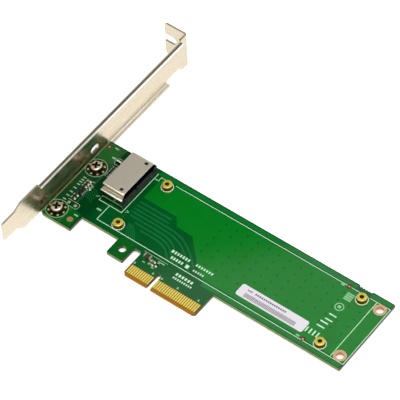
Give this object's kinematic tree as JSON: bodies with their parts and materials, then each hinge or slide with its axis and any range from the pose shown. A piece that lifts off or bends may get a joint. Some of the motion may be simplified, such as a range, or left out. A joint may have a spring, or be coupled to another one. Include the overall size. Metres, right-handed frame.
{
  "type": "drive adapter card",
  "caption": "Long narrow green circuit card with a folded steel mounting bracket, shielded drive connector, brass standoffs and a keyed gold contact tongue.",
  "frame": {"origin": "middle of the key notch at the edge of the contact tongue, on the board's component side", "axes": "+X along the card away from the mounting bracket, +Y from the contact edge toward the board's far long edge, +Z out of the component side"},
  "size_m": [0.1531, 0.12, 0.0188],
  "materials": {
    "laminate": "green solder mask over glass-fibre laminate, glossy",
    "gold_plate": "hard gold plating, satin",
    "bare_copper": "bare copper with a thin finish, satin",
    "tin": "tin and solder, satin",
    "nickel_steel": "bright nickel-plated sheet steel",
    "zinc_steel": "zinc-plated screws, bright",
    "brass": "turned brass, bright",
    "shell_steel": "nickel-plated thin sheet, satin",
    "black_moulding": "black moulded resin, matte",
    "label_film": "white polyester film, matte",
    "resistor_glaze": "dark glazed top",
    "tan_ceramic": "tan fired ceramic, matte"
  },
  "bodies": {
    "root": {"printed_board": "laminate", "edge_contacts_component_side": "gold_plate", "edge_contacts_solder_side": "gold_plate", "bare_copper_marks": "bare_copper", "bracket_screw_pads": "bare_copper", "standoff_pads": "tin", "mounting_bracket": "nickel_steel", "bracket_screw_lower": "zinc_steel", "bracket_screw_upper": "zinc_steel", "standoff_near_upper": "brass", "standoff_near_lower": "brass", "standoff_far_upper": "brass", "standoff_far_lower": "brass", "end_hole_eyelet_lower": "bare_copper", "end_hole_eyelet_upper": "bare_copper", "connector_shell": "shell_steel", "connector_housing": "black_moulding", "drive_contacts_lower": "gold_plate", "drive_contacts_upper": "gold_plate", "drive_contact_tails": "tin", "blank_label": "label_film", "regulator_body": "black_moulding", "regulator_leads": "tin", "chip_resistor_bodies": "resistor_glaze", "chip_resistor_ends": "tin", "chip_capacitor_bodies": "tan_ceramic", "chip_capacitor_ends": "tin", "large_capacitor_bodies": "tan_ceramic", "large_capacitor_ends": "tin", "signal_lamp_bodies": "black_moulding", "signal_lamp_ends": "tin"}
  },
  "joints": []
}
